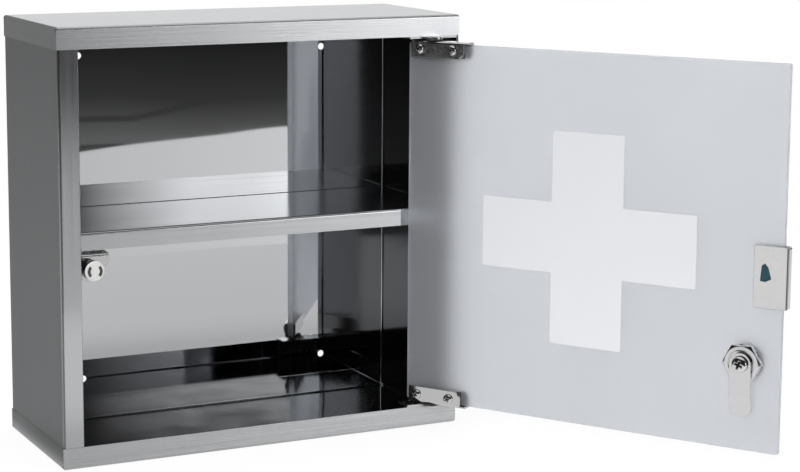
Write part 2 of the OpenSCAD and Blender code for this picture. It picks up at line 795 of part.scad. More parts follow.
// Flat cam, cranked towards the stile, with a square hole for the drive
module lock_cam() {
    crank_shift = 0.25 * cam_t;
    profile = [
        [-cam_w, cam_y], [crank_from, cam_y], [crank_from + crank_len, tip_y],
        [cam_len + past, tip_y], [cam_len + past, tip_y + cam_t],
        [crank_from + crank_len + crank_shift, tip_y + cam_t],
        [crank_from + crank_shift, cam_y + cam_t], [-cam_w, cam_y + cam_t]
    ];
    end_r = 0.4 * cam_w;
    drive_fit = 0.1;
    color([0.74, 0.75, 0.76]) at_lock() difference() {
        intersection() {
            linear_extrude(cam_y + 2 * cam_t) union() {
                circle(cam_w / 2);
                rounded(-cam_w / 2, cam_w / 2, -end_r, cam_len, end_r);
            }
            translate([-cam_w / 2 - past, 0, 0]) rotate([90, 0, 90])
                linear_extrude(cam_w + 2 * past) polygon(profile);
        }
        translate([0, 0, cam_y]) cube([drive + drive_fit, drive + drive_fit, 3 * cam_t], center = true);
    }
}

module cam_washer() {
    color([0.66, 0.67, 0.69]) at_lock() translate([0, 0, cam_y + cam_t]) difference() {
        cylinder(r = cam_head_r - 0.4, h = plate_t);
        translate([0, 0, -past]) cylinder(r = cam_screw_r + 3 * run_fit, h = plate_t + 2 * past);
    }
}

module cam_screw() {
    shank = cam_t + plate_t + cam_screw_deep;
    color([0.84, 0.85, 0.86]) at_lock() translate([0, 0, cam_y + cam_t + plate_t]) {
        rotate(20) pan_head(cam_head_r, cam_head_h);
        translate([0, 0, -shank]) cylinder(r = cam_screw_r, h = shank + seam);
    }
}

body_wrap();
cap(1);  // top_cap
cap(-1);  // bottom_cap
shelf();
catch_bracket();
catch_body();
catch_poles();
catch_magnet();
catch_nut();
hinge_leaf(1);  // top_hinge_leaf
hinge_leaf(-1);  // bottom_hinge_leaf
hinge_bush(1);  // top_hinge_bush
hinge_bush(-1);  // bottom_hinge_bush
hinge_pin(1);  // top_hinge_pin
hinge_pin(-1);  // bottom_hinge_pin
hinge_clamp(1);  // top_hinge_clamp
hinge_clamp(-1);  // bottom_hinge_clamp
pressure_plate(1);  // top_pressure_plate
pressure_plate(-1);  // bottom_pressure_plate
clamp_liners(1);  // top_clamp_liners
clamp_liners(-1);  // bottom_clamp_liners
clamp_screws(1);  // top_clamp_screws
clamp_screws(-1);  // bottom_clamp_screws
door_glass();
strike_clip();
clip_pad();
lock_body();
lock_seal(-face - seal_t);  // lock_front_seal
lock_seal(face);  // lock_rear_seal
lock_tooth_washer();
lock_nut();
lock_plug();
lock_wafers();
lock_cam();
cam_washer();
cam_screw();
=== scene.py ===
"""Looks of a small steel wall cabinet with an open frosted glass door.

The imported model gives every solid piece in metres. This file adds the finishes,
the print on the glass, the turned screws, and the plain studio that the cabinet
stands in. X runs across the front, Y back to the wall and Z up, and the origin is
the middle of the rear face.
"""
import json
import math

import bpy
import numpy as np
from mathutils import Matrix, Vector


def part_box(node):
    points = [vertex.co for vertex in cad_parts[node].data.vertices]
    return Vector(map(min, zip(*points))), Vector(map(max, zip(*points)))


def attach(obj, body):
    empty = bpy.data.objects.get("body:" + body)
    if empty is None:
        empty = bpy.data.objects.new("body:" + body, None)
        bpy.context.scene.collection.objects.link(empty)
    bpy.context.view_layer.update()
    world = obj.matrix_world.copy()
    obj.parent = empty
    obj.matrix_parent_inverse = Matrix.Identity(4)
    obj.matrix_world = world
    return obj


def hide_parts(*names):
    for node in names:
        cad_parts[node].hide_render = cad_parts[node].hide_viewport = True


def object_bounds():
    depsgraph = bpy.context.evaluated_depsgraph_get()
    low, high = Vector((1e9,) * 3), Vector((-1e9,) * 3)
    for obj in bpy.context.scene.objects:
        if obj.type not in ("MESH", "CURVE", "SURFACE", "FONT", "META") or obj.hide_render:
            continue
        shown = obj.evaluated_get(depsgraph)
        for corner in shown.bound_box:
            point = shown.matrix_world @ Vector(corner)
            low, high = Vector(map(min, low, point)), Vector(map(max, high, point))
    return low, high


bl_info = {
    "name": "Steel cabinet finisher",
    "version": (1, 0, 0),
    "blender": (4, 5, 0),
    "location": "3D View > Sidebar > Cabinet",
    "description": "Finishes a steel wall cabinet with a frosted glass door",
    "category": "Object",
}

MM = 0.001
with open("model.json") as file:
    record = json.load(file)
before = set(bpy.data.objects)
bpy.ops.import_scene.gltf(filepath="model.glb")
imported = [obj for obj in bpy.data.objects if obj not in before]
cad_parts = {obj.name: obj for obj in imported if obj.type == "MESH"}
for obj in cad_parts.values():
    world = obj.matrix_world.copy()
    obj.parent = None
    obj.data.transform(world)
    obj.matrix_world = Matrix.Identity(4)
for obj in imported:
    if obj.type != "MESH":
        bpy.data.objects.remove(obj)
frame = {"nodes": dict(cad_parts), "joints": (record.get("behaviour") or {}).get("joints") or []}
CAD_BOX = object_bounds()
JOINTS = {joint["name"]: joint for joint in frame["joints"]}

CAP_NODES = ("top_cap", "bottom_cap")
ENDS = ("top", "bottom")
WHITE = (1.0, 1.0, 1.0, 1.0)
STEEL_TINT = {"Red": 0.985, "Green": 1.0, "Blue": 1.02}
FINE = 1500.0       # marks in a metre across the grain of brushed sheet
MARK = 0.05 * MM    # depth of the finest marks in every finish


# ---------------------------------------------------------------- places

def door_axes():
    """Origin on the pivot, x towards the hinge edge, y towards the inside of the door.

    The lock turns about the door's own inward normal, which gives the y axis.
    """
    pivot = Vector(JOINTS["door_swing"]["pos_m"])
    inward = Vector(JOINTS["lock_turn"]["axis"]).normalized()
    up = Vector((0, 0, 1))
    along = inward.cross(up)
    turn = Matrix((along, inward, up)).transposed().to_4x4()
    return Matrix.Translation(pivot) @ turn


def node_in(axes, name):
    """Lowest and highest corner of a CAD node, measured along other axes."""
    mesh = frame["nodes"][name].data
    points = np.empty(len(mesh.vertices) * 3)
    mesh.vertices.foreach_get("co", points)
    back = np.array(axes.inverted())
    local = points.reshape(-1, 3) @ back[:3, :3].T + back[:3, 3]
    return local.min(0), local.max(0)


# ---------------------------------------------------------------- meshes

def mesh_piece(name, points, faces, axes=None):
    """Puts an array of points and a list of faces into a new object at the origin."""
    points = np.asarray(points, float).reshape(-1, 3)
    if axes is not None:
        place = np.array(axes)
        points = points @ place[:3, :3].T + place[:3, 3]
    mesh = bpy.data.meshes.new(name)
    mesh.from_pydata(points.tolist(), [], [tuple(face) for face in faces])
    mesh.update()
    piece = bpy.data.objects.new(name, mesh)
    bpy.context.scene.collection.objects.link(piece)
    return piece


def grid_faces(rows, columns):
    """Quads of a grid whose columns close into a ring."""
    row, column = np.mgrid[0:rows - 1, 0:columns]
    after = (column + 1) % columns
    quads = [row * columns + column, row * columns + after,
             (row + 1) * columns + after, (row + 1) * columns + column]
    return np.stack(quads, -1).reshape(-1, 4).tolist()


def rounded_outline(corners, radius, steps=6):
    """Closed outline whose corners are arcs.

    At each corner, the point on the arc is a blend of the two tangent points and
    the corner: a quadratic curve with parameter t from 0 to 1.
    """
    corners = np.asarray(corners, float)
    before = np.roll(corners, 1, 0) - corners
    after = np.roll(corners, -1, 0) - corners
    before *= radius / np.linalg.norm(before, axis=1, keepdims=True)
    after *= radius / np.linalg.norm(after, axis=1, keepdims=True)
    t = np.linspace(0, 1, steps)[None, :, None]
    start, end = (corners + before)[:, None], (corners + after)[:, None]
    middle = corners[:, None]
    return ((1 - t) ** 2 * start + 2 * t * (1 - t) * middle + t ** 2 * end).reshape(-1, 2)


def turned_screw(foot, head_r, head_h, shank_r, shank_l, turn):
    """Points, faces and recess depths of a pan head screw that stands along y on its foot.

    The outline runs up the shank, out under the head and over its dome, where the
    height is h (1 - (r / R)^3)^(1 / 2.4). A cross of two tapered slots, each the
    product of two ramps, is taken off the dome.
    """
    columns, dome_rows, innermost = 72, 30, 0.03
    power, root = 3, 2.4
    half_w, half_l, taper = head_r * 0.1, head_r * 0.54, head_r * 0.09
    depth = head_h * 0.55
    around = np.linspace(0, 2 * np.pi, columns, endpoint=False)
    share = np.sin(np.linspace(np.pi / 2, innermost, dome_rows))
    dome = head_h * (1 - share ** power) ** (1 / root)
    radius = np.concatenate([[shank_r, shank_r], share * head_r])[:, None]
    height = np.concatenate([[0, shank_l], shank_l + dome])[:, None]
    u, v = radius * np.cos(around - turn), radius * np.sin(around - turn)
    arms = [np.clip((half_w - abs(aside)) / taper + 0.5, 0, 1)
            * np.clip((half_l - abs(along)) / taper, 0, 1) for along, aside in ((u, v), (v, u))]
    recess = np.maximum(*arms)
    recess[:3] = 0
    grid = np.stack([radius * np.cos(around), height - recess * depth, radius * np.sin(around)], -1)
    rows = len(radius)
    ends = [[0, 0, 0], [0, shank_l + head_h - depth, 0]]
    points = np.concatenate([grid.reshape(-1, 3), ends]) + foot
    first, last = rows * columns, rows * columns + 1
    rim = (rows - 1) * columns
    after = np.roll(np.arange(columns), -1)
    faces = [quad[::-1] for quad in grid_faces(rows, columns)]
    faces += [(first, i, j) for i, j in enumerate(after)]
    faces += [(last, rim + j, rim + i) for i, j in enumerate(after)]
    return points, faces, np.concatenate([recess.ravel(), [0, 1]])


def screw_piece(name, screws, axes):
    """One piece of several turned screws, with its recess depths as an attribute."""
    points, faces, depths = [], [], []
    for screw in screws:
        more, quads, depth = turned_screw(**screw)
        start = sum(len(part) for part in points)
        points.append(more)
        faces += [tuple(start + corner for corner in quad) for quad in quads]
        depths.append(depth)
    piece = mesh_piece(name, np.concatenate(points), faces, axes)
    recess = piece.data.attributes.new("recess", "FLOAT", "POINT")
    recess.data.foreach_set("value", np.concatenate(depths))
    return smooth(piece, 50)


def smooth(piece, degrees=35):
    """Shades a piece smooth, but keeps edges sharper than the angle."""
    mesh = piece.data
    mesh.shade_smooth()
    mesh.set_sharp_from_angle(angle=math.radians(degrees))
    return piece


def finish_piece(piece, body, material):
    """Rides a new piece on its body and its material."""
    piece.data.materials.clear()
    piece.data.materials.append(material)
    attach(piece, body)
    return piece


# ---------------------------------------------------------------- materials

class Nodes:
    """Short calls that add nodes to a tree; an input is a value or another node's output."""

    def __init__(self, tree):
        self.tree = tree
        self.coordinates = self.node("ShaderNodeTexCoord").outputs
        self.place = self.coordinates["Object"]

    def feed(self, socket, value):
        if isinstance(value, bpy.types.NodeSocket):
            self.tree.links.new(value, socket)
        else:
            socket.default_value = value

    def node(self, kind, inputs=None, **settings):
        made = self.tree.nodes.new(kind)
        for name, value in settings.items():
            setattr(made, name, value)
        for name, value in (inputs or {}).items():
            self.feed(made.inputs[name], value)
        return made

    def stretched(self, scale):
        mapping = {"Vector": self.place, "Scale": scale}
        return self.node("ShaderNodeMapping", mapping).outputs["Vector"]

    def noise(self, scale, detail=2.0, where=None):
        pattern = {"Vector": where or self.place, "Scale": scale, "Detail": detail}
        return self.node("ShaderNodeTexNoise", pattern).outputs["Fac"]

    def ramp(self, value, low, high, out_low=0.0, out_high=1.0, soft=False):
        return self.node("ShaderNodeMapRange", {
            "Value": value, "From Min": low, "From Max": high,
            "To Min": out_low, "To Max": out_high},
            interpolation_type="SMOOTHSTEP" if soft else "LINEAR").outputs["Result"]

    def spread(self, noise, low, high):
        """Stretches a noise, which lies mostly from 0.3 to 0.7, over a range."""
        return self.ramp(noise, 0.3, 0.7, low, high)

    def math(self, operation, a, b=0.0):
        return self.node("ShaderNodeMath", {0: a, 1: b}, operation=operation).outputs[0]

    def product(self, *values):
        result = values[0]
        for value in values[1:]:
            result = self.math("MULTIPLY", result, value)
        return result

    def blend(self, factor, a, b):
        return self.node("ShaderNodeMix", {"Factor": factor, 2: a, 3: b}).outputs[0]

    def mix(self, factor, a, b):
        made = self.node("ShaderNodeMix", {"Factor": factor}, data_type="RGBA")
        self.feed(made.inputs[6], a)
        self.feed(made.inputs[7], b)
        return made.outputs[2]

    def bump(self, height, strength, distance, under=None):
        inputs = {"Height": height, "Strength": strength, "Distance": distance}
        if under is not None:
            inputs["Normal"] = under
        return self.node("ShaderNodeBump", inputs).outputs["Normal"]

    def parts(self, vector):
        return self.node("ShaderNodeSeparateXYZ", {"Vector": vector}).outputs


class Shader(Nodes):
    """A new material with a Principled shader."""

    def __init__(self, name):
        self.material = bpy.data.materials.new(name)
        self.material.use_nodes = True
        super().__init__(self.material.node_tree)
        self.shader = self.tree.nodes["Principled BSDF"]

    def set(self, **values):
        """Sets or links the shader's sockets: Base_Color=..., Roughness=..."""
        for name, value in values.items():
            self.feed(self.shader.inputs[name.replace("_", " ")], value)


def opaque(colour, share=1.0):
    """A colour of three numbers, made paler or darker by a share, with no alpha."""
    return (colour[0] * share, colour[1] * share, colour[2] * share, 1.0)


def grey(level):
    return (level, level, level, 1.0)


def outside_of_case(steel, caps=False):
    """1 where a point lies in the outer half of the sheet, else 0.

    Those are the outer halves of the side walls, the rear and the front, and on
    the caps also that of their plates.
    """
    low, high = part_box("top_cap" if caps else "body_wrap")
    half_sheet = 0.5 * MM
    place = steel.parts(steel.place)
    side = steel.math("GREATER_THAN", steel.math("ABSOLUTE", place["X"]), high.x - half_sheet)
    rear = steel.math("GREATER_THAN", place["Y"], high.y - half_sheet)
    front = steel.math("LESS_THAN", place["Y"], low.y + half_sheet)
    outside = steel.math("MAXIMUM", steel.math("MAXIMUM", side, rear), front)
    if caps:
        plate = steel.math("GREATER_THAN", steel.math("ABSOLUTE", place["Z"]), high.z - half_sheet)
        outside = steel.math("MAXIMUM", outside, plate)
    return outside


def steel_grain(steel, flat, upright):
    """Noise drawn out along the grain, with its own stretch on level and on upright faces."""
    facing = steel.parts(steel.coordinates["Normal"])["Z"]
    level = steel.math("GREATER_THAN", steel.math("ABSOLUTE", facing), 0.5)
    return steel.blend(level, steel.noise(1.0, 3.0, steel.stretched(upright)),
                       steel.noise(1.0, 3.0, steel.stretched(flat)))


def sheet_colour(steel, shade):
    """Grey of stainless steel, a touch blue."""
    channels = {name: steel.product(shade, share) for name, share in STEEL_TINT.items()}
    return steel.node("ShaderNodeCombineColor", channels).outputs[0]


def sheet_normal(steel, grain, strength, waviness):
    """Scratches of the brushing, on the slow bow of a thin sheet."""
    scratch = steel.bump(grain, strength, MARK)
    return steel.bump(steel.noise(6.0, 1.0), waviness, 1.0 * MM, scratch)


def wall_sheet(look):
    """Sheet of the walls: brushed upright outside, and polished inside.

    Brushing spreads a highlight across its grain, so the tangent lies level. The
    polished side mirrors, bowed a little by a slow noise.
    """
    steel = Shader("wall_sheet")
    outside = outside_of_case(steel)
    grain = steel_grain(steel, (FINE, 8.0, 8.0), (FINE, FINE, 7.0))
    facing = steel.math("ABSOLUTE", steel.parts(steel.coordinates["Normal"])["X"])
    side = steel.math("GREATER_THAN", facing, 0.7)
    brushed = steel.math("ADD", steel.blend(side, look.stile_rough, look.brushed_rough),
                         steel.spread(grain, -0.03, 0.03))
    polished = steel.ramp(steel.noise(16.0), 0.35, 0.75,
                          look.polished_rough, look.polished_rough + 0.02)
    polished = steel.blend(side, polished, steel.math("ADD", polished, 0.08))
    # Painted shade: inside the side walls the polished sheet gets a far lower grey than on the back
    # panel.
    inside = steel.blend(side, look.polished_level, look.shaded_side_level)
    level = steel.blend(outside, inside, look.wall_level)
    streak = steel.blend(outside, 1.0, steel.spread(grain, 0.94, 1.03))
    across = steel.node("ShaderNodeCombineXYZ", {"X": 1.0, "Y": 1.0, "Z": 0.0}).outputs[0]
    steel.set(Base_Color=sheet_colour(steel, steel.product(level, streak)), Metallic=1.0,
              Roughness=steel.blend(outside, polished, brushed), Anisotropic=0.97, Tangent=across,
              Normal=sheet_normal(steel, grain, steel.product(outside, 0.05), look.waviness))
    return steel.material


def tray_sheet(look, name, rough, polished_inside):
    """Sheet of the caps and the shelf, brushed along their length on every face."""
    steel = Shader(name)
    grain = steel_grain(steel, (7.0, FINE, 7.0), (7.0, 7.0, FINE))
    patch = steel.noise(20.0)
    rough = steel.spread(grain, rough - 0.04, rough + 0.04)
    level, strength = look.tray_level, 0.04
    if polished_inside:
        outside = outside_of_case(steel, caps=True)
        rough = steel.blend(outside, steel.ramp(patch, 0.35, 0.75, 0.06, 0.1), rough)
        level = steel.blend(outside, look.polished_level, look.tray_level)
        strength = steel.product(outside, strength)
    shade = steel.product(level, steel.spread(grain, 0.91, 1.05), steel.spread(patch, 0.97, 1.01))
    across = steel.node("ShaderNodeCombineXYZ", {"X": 0.0, "Y": 0.05, "Z": 1.0}).outputs[0]
    steel.set(Base_Color=sheet_colour(steel, shade), Metallic=1.0, Roughness=rough,
              Anisotropic=0.85, Tangent=across,
              Normal=sheet_normal(steel, grain, strength, look.waviness * 0.5))
    return steel.material


def rounded(skin, radius, samples):
    """Normal that rounds the sharp edges of a solid within a radius."""
    return skin.node("ShaderNodeBevel", {"Radius": radius}, samples=samples).outputs["Normal"]


def plated(look):
    """Bright nickel plate with faint cloudiness and rounded highlights on its edges."""
    plate = Shader("nickel_plate")
    cloud = plate.noise(420.0, 3.0)
    edge = rounded(plate, 0.45 * MM, 6)
    plate.set(Base_Color=plate.mix(cloud, grey(look.plate_level * 0.96), grey(look.plate_level)),
              Metallic=1.0, Roughness=plate.spread(cloud, 0.07, 0.14),
              Normal=plate.bump(plate.noise(500.0), 0.05, MARK, edge))
    return plate.material


def screw_plate(look):
    """The same plate, with painted shade, near black, where the mesh's own attribute says the
    recess is deep.
    """
    plate = Shader("screw_plate")
    deep = plate.node("ShaderNodeAttribute", attribute_name="recess").outputs["Fac"]
    cloud = plate.noise(600.0, 3.0)
    # Painted shade: where the recess is deep, with a little noise, the plate turns near black and
    # rough.
    recess_shade = plate.ramp(plate.math("ADD", deep, plate.product(cloud, 0.2)), 0.3, 0.8)
    plate.set(Base_Color=plate.mix(recess_shade, grey(look.plate_level), grey(0.05)), Metallic=1.0,
              Roughness=plate.blend(recess_shade, 0.09, 0.5), Normal=plate.bump(cloud, 0.05, MARK))
    return plate.material


def plain_steel(look):
    """Bare steel of small stampings, with a fine grain."""
    steel = Shader("plain_steel")
    grain = steel.noise(1.0, 3.0, steel.stretched((300.0, 300.0, 2600.0)))
    darker, bright = grey(look.plate_level * 0.84), grey(look.plate_level * 0.97)
    steel.set(Base_Color=steel.mix(grain, darker, bright), Metallic=1.0,
              Roughness=steel.spread(grain, 0.16, 0.3),
              Normal=steel.bump(grain, 0.08, MARK, rounded(steel, 0.2 * MM, 4)))
    return steel.material


def rubber(name, colour):
    """Soft rubber: matt, with dust and a fine pitted surface."""
    skin = Shader(name)
    dust = skin.noise(380.0, 4.0)
    dusty = opaque([min(1.0, part * 1.35 + 0.02) for part in colour])
    skin.set(Base_Color=skin.mix(skin.ramp(dust, 0.45, 0.8), opaque(colour), dusty),
             Roughness=skin.spread(dust, 0.62, 0.82),
             Normal=skin.bump(skin.noise(900.0, 3.0), 0.2, 0.08 * MM))
    return skin.material


def moulded(name, colour, roughness):
    """Moulded plastic with a fine spark-eroded texture."""
    skin = Shader(name)
    grain = skin.noise(1500.0)
    skin.set(Base_Color=skin.mix(skin.noise(60.0), opaque(colour, 0.93), opaque(colour)),
             Roughness=skin.spread(grain, roughness - 0.06, roughness + 0.06),
             Normal=skin.bump(grain, 0.12, MARK, rounded(skin, 0.3 * MM, 4)))
    return skin.material


def catch_housing():
    """Pale moulded face in a plated sleeve, which is every surface that faces another way."""
    skin = Shader("catch_housing")
    facing = skin.math("ABSOLUTE", skin.parts(skin.coordinates["Normal"])["Y"])
    face = skin.math("GREATER_THAN", facing, 0.5)
    grain = skin.noise(1500.0)
    skin.set(Base_Color=skin.mix(face, grey(0.34), opaque((0.68, 0.68, 0.67))),
             Metallic=skin.math("SUBTRACT", 1.0, face),
             Roughness=skin.blend(face, 0.22, skin.spread(grain, 0.34, 0.46)),
             Normal=skin.bump(grain, 0.1, MARK))
    return skin.material


def magnet_iron():
    """Dull dark iron of the pole plates."""
    iron = Shader("pole_iron")
    cloud = iron.noise(420.0, 4.0)
    iron.set(Base_Color=iron.mix(cloud, grey(0.10), grey(0.2)), Metallic=1.0,
             Roughness=iron.spread(cloud, 0.4, 0.6), Normal=iron.bump(cloud, 0.1, MARK))
    return iron.material


def lock_brass():
    """Brass of the plug, dulled in patches."""
    brass = Shader("lock_brass")
    cloud = brass.noise(300.0, 4.0)
    darker, bright = opaque((0.42, 0.33, 0.18)), opaque((0.62, 0.52, 0.32))
    brass.set(Base_Color=brass.mix(cloud, darker, bright), Metallic=1.0,
              Roughness=brass.spread(cloud, 0.22, 0.42), Normal=brass.bump(cloud, 0.08, MARK))
    return brass.material


def frosted_glass(look):
    """Satin glass: most of the light passes, scattered by both etched faces.

    The fine sparkle of the etch is a noise in the roughness and a small bump.
    """
    glass = Shader("frosted_glass")
    etch = glass.noise(1800.0, 3.0)
    cloud = glass.spread(glass.noise(14.0), 0.0, 1.0)
    glass.set(Base_Color=glass.mix(cloud, opaque(look.tint, 0.97), opaque(look.tint)),
              Transmission_Weight=look.clear, IOR=1.5,
              Roughness=glass.spread(etch, look.frost - 0.04, look.frost + 0.04),
              Normal=glass.bump(etch, 0.05, MARK))
    return glass.material


def cross_ink(look):
    """White screen ink: smooth, a little glossy, with a faint mottle."""
    ink = Shader("cross_ink")
    mottle = ink.noise(900.0, 3.0)
    ink.set(Base_Color=ink.mix(mottle, opaque(look.ink, 0.97), opaque(look.ink)),
            Roughness=ink.spread(mottle, 0.42, 0.52), Normal=ink.bump(mottle, 0.06, MARK))
    return ink.material


def set_material(names, material):
    """Gives every slot of the named CAD nodes one material."""
    for name in names:
        mesh = frame["nodes"][name].data
        mesh.materials.clear()
        mesh.materials.append(material)


# ---------------------------------------------------------------- settings

class CabinetSteel(bpy.types.PropertyGroup):
    """Finish of the sheet and of the plated hardware."""

    wall_level: bpy.props.FloatProperty(
        name="Wall", description="Grey level of the brushed walls", default=0.62, min=0, max=1)
    polished_level: bpy.props.FloatProperty(
        name="Inside", description="Grey level of the polished inside", default=0.57, min=0, max=1)
    # Painted shade: the inner sides are the same polished sheet as the back panel, set to a far
    # lower grey.
    shaded_side_level: bpy.props.FloatProperty(
        name="Inner sides", description="Grey level inside the two side walls", default=0.14,
        min=0, max=1)
    tray_level: bpy.props.FloatProperty(
        name="Caps", description="Grey level of the caps and the shelf", default=0.61, min=0, max=1)
    brushed_rough: bpy.props.FloatProperty(
        name="Brushed", description="Roughness of the brushed faces", default=0.31,
        min=0.05, max=1, subtype="FACTOR")
    stile_rough: bpy.props.FloatProperty(
        name="Stile's brushing", description="Roughness of the stile", default=0.2,
        min=0.05, max=1, subtype="FACTOR")
    cap_rough: bpy.props.FloatProperty(
        name="Caps' brushing", description="Roughness of the brushed caps", default=0.25,
        min=0.05, max=1, subtype="FACTOR")
    polished_rough: bpy.props.FloatProperty(
        name="Polished", description="Roughness of the polished faces", default=0.012,
        min=0, max=1, subtype="FACTOR")
    shelf_rough: bpy.props.FloatProperty(
        name="Shelf", description="Roughness of the shelf's satin face", default=0.17,
        min=0, max=1, subtype="FACTOR")
    waviness: bpy.props.FloatProperty(
        name="Waviness", description="How far the thin sheet bows", default=0.3, min=0, max=1)
    plate_level: bpy.props.FloatProperty(
        name="Plating", description="Grey level of the plated pieces", default=0.77, min=0, max=1)


class CabinetGlass(bpy.types.PropertyGroup):
    """Finish of the door and its print."""

    tint: bpy.props.FloatVectorProperty(
        name="Tint", description="Colour of the glass", subtype="COLOR", size=3,
        default=(0.735, 0.75, 0.78), min=0, max=1)
    clear: bpy.props.FloatProperty(
        name="Clearness", description="Share of the light that passes", default=0.9,
        min=0, max=1, subtype="FACTOR")
    frost: bpy.props.FloatProperty(
        name="Frost", description="Roughness of the etched faces", default=0.85,
        min=0, max=1, subtype="FACTOR")
    ink: bpy.props.FloatVectorProperty(
        name="Ink", description="Colour of the cross", subtype="COLOR", size=3,
        default=(0.72, 0.73, 0.755), min=0, max=1)
    upright_w: bpy.props.FloatProperty(
        name="Upright width", description="Width of the cross's upright bar",
        default=54 * MM, unit="LENGTH")
    upright_h: bpy.props.FloatProperty(
        name="Upright height", description="Height of the cross's upright bar",
        default=150 * MM, unit="LENGTH")
    bar_w: bpy.props.FloatProperty(
        name="Bar width", description="Length of the cross's level bar",
        default=162 * MM, unit="LENGTH")
    bar_h: bpy.props.FloatProperty(
        name="Bar height", description="Height of the cross's level bar",
        default=50 * MM, unit="LENGTH")


class CabinetScrews(bpy.types.PropertyGroup):
    """Sizes of the screws that their nodes' boxes don't give."""

    clamp_head: bpy.props.FloatProperty(
        name="Clamp screw's head", description="Height of the head", default=2.2 * MM,
        unit="LENGTH")
    clamp_shank: bpy.props.FloatProperty(
        name="Clamp screw's shank", description="Radius of the shank", default=2 * MM,
        unit="LENGTH")
    cam_head: bpy.props.FloatProperty(
        name="Cam screw's head", description="Height of the head", default=3 * MM, unit="LENGTH")
    cam_shank: bpy.props.FloatProperty(
        name="Cam screw's shank", description="Radius of the shank", default=1.55 * MM,
        unit="LENGTH")


class CabinetStage(bpy.types.PropertyGroup):
    """Camera, floor and light."""

    lens: bpy.props.FloatProperty(name="Lens", description="Focal length", default=95.34,
                                  unit="CAMERA")
    yaw: bpy.props.FloatProperty(
        name="Yaw", description="How far the camera looks to the right of straight back",
        default=math.radians(25.85), subtype="ANGLE")
    pitch: bpy.props.FloatProperty(
        name="Pitch", description="How far the camera looks down",
        default=math.radians(8.78), subtype="ANGLE")
    roll: bpy.props.FloatProperty(
        name="Roll", description="How far the camera leans to the left",
        default=math.radians(0.24), subtype="ANGLE")
    eye: bpy.props.FloatVectorProperty(
        name="Eye", description="Place of the camera", subtype="XYZ", unit="LENGTH", size=3,
        default=(-0.5744, -1.4531, 0.2638))
    shift: bpy.props.FloatVectorProperty(
        name="Shift", description="Shift of the picture, as a share of its width", size=2,
        default=(0.05, -0.07))
    light: bpy.props.FloatProperty(
        name="Light", description="Level of the lamps", default=1.0, min=0)
    soft_box: bpy.props.FloatProperty(
        name="Soft box", description="Level of the soft box in front at the right", default=1.0,
        min=0)


# ---------------------------------------------------------------- operators

class CABINET_OT_case(bpy.types.Operator):
    """Finish the folded sheet of the case, its caps and its shelf"""

    bl_idname = "cabinet.case"
    bl_label = "Finish the case"

    def execute(self, context):
        look = context.scene.cabinet_steel
        set_material(["body_wrap"], wall_sheet(look))
        set_material(CAP_NODES, tray_sheet(look, "cap_sheet", look.cap_rough, True))
        set_material(["shelf"], tray_sheet(look, "shelf_sheet", look.shelf_rough, False))
        return {"FINISHED"}


class CABINET_OT_door_glass(bpy.types.Operator):
    """Frost the glass of the door"""

    bl_idname = "cabinet.door_glass"
    bl_label = "Finish the door"

    def execute(self, context):
        set_material(["door_glass"], frosted_glass(context.scene.cabinet_glass))
        return {"FINISHED"}


def cross_outline(look):
    """Twelve corners of a cross with an upright bar and a level bar, about the origin."""
    a, b = look.upright_w / 2, look.upright_h / 2
    c, d = look.bar_w / 2, look.bar_h / 2
    quarter = [(a, b), (a, d), (c, d)]
    return (quarter + [(x, -z) for x, z in reversed(quarter)]
            + [(-x, -z) for x, z in quarter] + [(-x, z) for x, z in reversed(quarter)])


class CABINET_OT_cross(bpy.types.Operator):
    """Print the cross on the inner face of the glass"""

    bl_idname = "cabinet.cross"
    bl_label = "Print the cross"

    def execute(self, context):
        look = context.scene.cabinet_glass
        axes = door_axes()
        low, high = node_in(axes, "door_glass")
        middle = (low + high) / 2
        corner, gap, film = 0.8 * MM, 0.005 * MM, 0.06 * MM
        outline = rounded_outline(cross_outline(look), corner)
        count = len(outline)
        levels = (high[1] + gap, high[1] + film)
        points = [np.column_stack([outline[:, 0] + middle[0], np.full(count, y),
                                   outline[:, 1] + middle[2]]) for y in levels]
        faces = grid_faces(2, count)
        faces += [list(range(count))[::-1], list(range(count, 2 * count))]
        piece = mesh_piece("cross_print", np.concatenate(points), faces, axes)
        finish_piece(piece, "door", cross_ink(look))
        return {"FINISHED"}


class CABINET_OT_hinges(bpy.types.Operator):
    """Finish the two pivot hinges"""

    bl_idname = "cabinet.hinges"
    bl_label = "Finish the hinges"

    def execute(self, context):
        look = context.scene.cabinet_steel
        bright = plated(look)
        steel = plain_steel(look)
        black = moulded("bush_plastic", (0.035, 0.035, 0.04), 0.45)
        liner = rubber("liner_rubber", (0.02, 0.02, 0.022))
        for end in ENDS:
            set_material([f"{end}_hinge_clamp", f"{end}_clamp_screws"], bright)
            set_material([f"{end}_hinge_leaf", f"{end}_hinge_pin", f"{end}_pressure_plate"], steel)
            set_material([f"{end}_hinge_bush"], black)
            set_material([f"{end}_clamp_liners"], liner)
        return {"FINISHED"}


class CABINET_OT_catch(bpy.types.Operator):
    """Finish the magnetic catch and the strike clip"""

    bl_idname = "cabinet.catch"
    bl_label = "Finish the catch"

    def execute(self, context):
        look = context.scene.cabinet_steel
        set_material(["catch_bracket", "catch_nut"], plain_steel(look))
        set_material(["catch_body"], catch_housing())
        set_material(["catch_poles", "catch_magnet"], magnet_iron())
        set_material(["strike_clip"], plated(look))
        set_material(["clip_pad"], rubber("pad_rubber", (0.02, 0.06, 0.08)))
        return {"FINISHED"}


class CABINET_OT_lock(bpy.types.Operator):
    """Finish the cam lock"""

    bl_idname = "cabinet.lock"
    bl_label = "Finish the lock"

    def execute(self, context):
        look = context.scene.cabinet_steel
        set_material(["lock_body", "lock_nut", "lock_cam", "cam_screw"], plated(look))
        set_material(["lock_tooth_washer", "cam_washer"], plain_steel(look))
        set_material(["lock_front_seal", "lock_rear_seal"],
                     rubber("seal_rubber", (0.025, 0.025, 0.027)))
        set_material(["lock_plug", "lock_wafers"], lock_brass())
        return {"FINISHED"}


